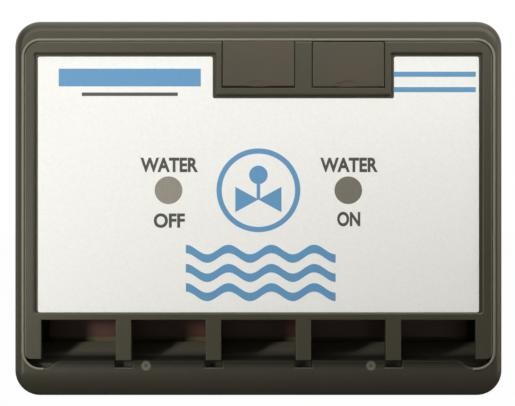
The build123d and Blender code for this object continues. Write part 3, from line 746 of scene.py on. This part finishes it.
# %% Wave lines: one line bent into a wave
grid = add_node(
    tree,
    "GeometryNodeMeshGrid",
    {
        "Size X": given.outputs["Length"],
        "Size Y": given.outputs["Line"],
        "Vertices X": 120,
        "Vertices Y": 2,
    },
)
position = add_node(tree, "GeometryNodeInputPosition").outputs["Position"]
place = add_node(tree, "ShaderNodeSeparateXYZ", {"Vector": position})
share = add_node(
    tree, "ShaderNodeMath", {0: place.outputs["X"], 1: given.outputs["Length"]}, operation="DIVIDE"
)
turns = add_node(
    tree, "ShaderNodeMath", {0: share.outputs["Value"], 1: given.outputs["Waves"]}, operation="MULTIPLY"
)
angle = add_node(
    tree, "ShaderNodeMath", {0: turns.outputs["Value"], 1: 2 * math.pi}, operation="MULTIPLY"
)
sine = add_node(tree, "ShaderNodeMath", {0: angle.outputs["Value"]}, operation="SINE")
lift = add_node(
    tree,
    "ShaderNodeMath",
    {0: sine.outputs["Value"], 1: given.outputs["Swing"], 2: place.outputs["Y"]},
    operation="MULTIPLY_ADD",
)
stood = add_node(tree, "ShaderNodeCombineXYZ", {"X": place.outputs["X"], "Z": lift.outputs["Value"]})
wave = add_node(
    tree,
    "GeometryNodeSetPosition",
    {"Geometry": grid.outputs["Mesh"], "Position": stood.outputs["Vector"]},
)
print("nodes for one wave", len(tree.nodes))

# %% Wave lines: three of them, kept as a plain mesh
WATER_X = 0.6 * MM
WATER_Z = -21.8 * MM
step = add_node(tree, "ShaderNodeCombineXYZ", {"Z": given.outputs["Spacing"]})
column = add_node(tree, "GeometryNodeMeshLine", {"Count": 3, "Offset": step.outputs["Vector"]})
copies = add_node(
    tree,
    "GeometryNodeInstanceOnPoints",
    {"Points": column.outputs["Mesh"], "Instance": wave.outputs["Geometry"]},
)
real = add_node(tree, "GeometryNodeRealizeInstances", {"Geometry": copies.outputs["Instances"]})
inked = add_node(
    tree, "GeometryNodeSetMaterial", {"Geometry": real.outputs["Geometry"], "Material": blue_ink}
)
add_node(tree, "NodeGroupOutput", {"Geometry": inked.outputs["Geometry"]})

carrier = bpy.data.objects.new("wave_carrier", bpy.data.meshes.new("wave_carrier"))
bpy.context.scene.collection.objects.link(carrier)
modifier = carrier.modifiers.new("water_lines", "NODES")
modifier.node_group = tree
for label, value in WATER_SIZES.items():
    modifier[identifiers[label]] = value
evaluated = carrier.evaluated_get(bpy.context.evaluated_depsgraph_get())
lines = bpy.data.meshes.new_from_object(evaluated)
bpy.data.objects.remove(carrier)
lay_print(
    "print_water_lines",
    [(WATER_X + v.co.x, WATER_Z + v.co.z) for v in lines.vertices],
    [list(face.vertices) for face in lines.polygons],
    blue_ink,
)

# %% [markdown]
# ## Header bars
# The two upper corners of the label carry plain bars: a thick and a thin one on the left, two thin ones
# on the right. A rectangle is four points and one face, so no tool of Blender's is needed for it. Each is
# given by its upper left corner, its width and its height.


# %% Header bars
def bar(name, x, z, width, height, ink):
    """A printed rectangle from its upper left corner."""
    points = [(x, z), (x, z - height), (x + width, z - height), (x + width, z)]
    lay_print(name, points, [(0, 1, 2, 3)], ink)


bar("print_bar_left_thick", -52.0 * MM, 36.4 * MM, 37.0 * MM, 4.6 * MM, blue_ink)
bar("print_bar_left_thin", -46.0 * MM, 30.2 * MM, 25.0 * MM, 0.9 * MM, grey_ink)
bar("print_bar_right_upper", 35.2 * MM, 35.6 * MM, 21.4 * MM, 1.3 * MM, blue_ink)
bar("print_bar_right_lower", 35.2 * MM, 31.6 * MM, 21.4 * MM, 1.3 * MM, blue_ink)

# %% [markdown]
# ## Camera
# The picture is a plain front view from about arm's length. The widest part of the outline lies where
# the front round begins, so the scale is set there: the frame is as wide as its pixels times
# the size of one pixel on the object, which fixes the relation of distance and lens.

# %% Camera
PICTURE_WIDTH = 515
PIXEL = 0.26132 * MM
DISTANCE = 560 * MM
OUTLINE_BEHIND_FRONT = 2.9 * MM
target = Vector((-0.24 * MM, cad_low.y + OUTLINE_BEHIND_FRONT, 1.42 * MM))

camera_data = bpy.data.cameras.new("camera")
camera_data.sensor_width = 36.0
camera_data.lens = camera_data.sensor_width * DISTANCE / (PICTURE_WIDTH * PIXEL)
camera_data.clip_start = 0.01
camera = bpy.data.objects.new("camera", camera_data)
bpy.context.scene.collection.objects.link(camera)
camera.location = target + Vector((0.0, -DISTANCE, 0.0))
camera.rotation_euler = (target - camera.location).to_track_quat("-Z", "Y").to_euler()
bpy.context.scene.camera = camera
bpy.context.scene.view_settings.view_transform = "Standard"
print("lens", round(camera_data.lens, 1), "mm")

# %% [markdown]
# ## Lamps
# Light on a dark box is best built up one lamp at a time, with a render of each lamp alone. A small
# key lamp at the left, level with the box, reaches through the cable openings and lights the board at
# their right ends. A long strip close overhead brightens the upper half and fades down the front,
# and a ceiling panel far above softens it. Two side lamps graze the outer rounds, and a faint fill
# from beside the camera keeps the openings from going black.


# %% Lamps
def soft_lamp(name, offset, size, power, colour="#ffffff"):
    """A rectangular lamp at an offset from the middle of the front, turned towards it."""
    lamp = bpy.data.lights.new(name, "AREA")
    lamp.shape = "RECTANGLE"
    lamp.size, lamp.size_y = size
    lamp.energy = power
    lamp.color = linear(colour)[:3]
    carrier = bpy.data.objects.new(name, lamp)
    bpy.context.scene.collection.objects.link(carrier)
    aim = Vector((0.0, cad_low.y, 0.0))
    carrier.location = aim + Vector(offset)
    carrier.rotation_euler = (-Vector(offset)).to_track_quat("-Z", "Y").to_euler()
    print(name, power, "W")


soft_lamp("key_lamp", (-0.130, -0.15, -0.014), (0.021, 0.021), 0.125)
soft_lamp("overhead_strip", (0.03, -0.12, 0.105), (0.42, 0.07), 0.33)
soft_lamp("ceiling_panel", (0.0, -0.04, 0.30), (0.50, 0.34), 0.62)
soft_lamp("left_side_lamp", (-0.30, 0.0, 0.0), (0.15, 0.15), 0.07)
soft_lamp("right_side_lamp", (0.30, -0.03, 0.0), (0.15, 0.15), 0.20, "#fff8ea")
soft_lamp("lens_fill", (0.12, -0.50, -0.06), (0.06, 0.06), 0.05, "#ffe9cf")

# %% [markdown]
# ## World
# The background has to look white and yet must not flood the charcoal with light. The Light Path node
# tells rays apart: a camera ray sees white, a mirrored ray sees a dim room in front and white behind,
# and all other rays get a faint ambient glow. So the white costs the object no contrast.

# %% World
AMBIENT = 0.05
ROOM_IN_FRONT = 0.1
WHITE = (1.0, 1.0, 1.0, 1.0)
world = bpy.data.worlds.new("studio")
bpy.context.scene.world = world
world.use_nodes = True
tree = world.node_tree
tree.nodes.clear()
path = add_node(tree, "ShaderNodeLightPath")
towards = add_node(tree, "ShaderNodeTexCoord").outputs["Generated"]
direction = add_node(tree, "ShaderNodeSeparateXYZ", {"Vector": towards})
behind = add_node(
    tree,
    "ShaderNodeMapRange",
    {
        "Value": direction.outputs["Y"],
        "From Min": -0.1,
        "From Max": 0.3,
        "To Min": ROOM_IN_FRONT,
        "To Max": 1.0,
    },
)
mirrored = add_node(
    tree,
    "ShaderNodeMath",
    {0: path.outputs["Is Glossy Ray"], 1: path.outputs["Is Transmission Ray"]},
    operation="MAXIMUM",
)
seen = add_node(
    tree,
    "ShaderNodeMix",
    {
        "Factor_Float": mirrored.outputs["Value"],
        "A_Float": AMBIENT,
        "B_Float": behind.outputs["Result"],
    },
)
strength = add_node(
    tree,
    "ShaderNodeMix",
    {
        "Factor_Float": path.outputs["Is Camera Ray"],
        "A_Float": socket(seen.outputs, "Result_Float"),
        "B_Float": 1.0,
    },
)
sky = add_node(
    tree,
    "ShaderNodeBackground",
    {"Color": WHITE, "Strength": socket(strength.outputs, "Result_Float")},
)
add_node(tree, "ShaderNodeOutputWorld", {"Surface": sky.outputs["Background"]})
print("ambient", AMBIENT, "world nodes", len(tree.nodes))

# %% [markdown]
# ## Floor
# The box stands on white paper. To the camera the paper is almost all plain white, with a small share
# of a real diffuse surface that still takes the object's shadow. Other rays meet only the
# diffuse paper, so it throws no extra light back.

# %% Floor
FLOOR_HALF = 3.0
SHOWN_WHITE = 0.985
floor_mesh = bpy.data.meshes.new("floor")
corners = [(-1, -1), (1, -1), (1, 1), (-1, 1)]
floor_mesh.from_pydata(
    [(x * FLOOR_HALF, y * FLOOR_HALF, cad_low.z) for x, y in corners], [], [(0, 1, 2, 3)]
)
floor = bpy.data.objects.new("floor", floor_mesh)
bpy.context.scene.collection.objects.link(floor)
paper, tree, _, surface = start_material("white_studio_paper")
shown = add_node(tree, "ShaderNodeEmission", {"Color": WHITE, "Strength": 1.0})
taken = add_node(tree, "ShaderNodeBsdfDiffuse", {"Color": linear("#8a8a86")})
path = add_node(tree, "ShaderNodeLightPath")
share = add_node(
    tree, "ShaderNodeMath", {0: path.outputs["Is Camera Ray"], 1: SHOWN_WHITE}, operation="MULTIPLY"
)
blend = add_node(
    tree,
    "ShaderNodeMixShader",
    {0: share.outputs["Value"], 1: taken.outputs["BSDF"], 2: shown.outputs["Emission"]},
)
tree.links.new(blend.outputs["Shader"], surface)
floor_mesh.materials.append(paper)
floor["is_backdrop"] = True
print("floor at", round(cad_low.z / MM, 2), "mm")

# %% Compare the boxes and finish
dressed_low, dressed_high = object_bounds()
growth = (dressed_high - dressed_low) - (cad_high - cad_low)
print("growth in mm", [round(side / MM, 3) for side in growth])
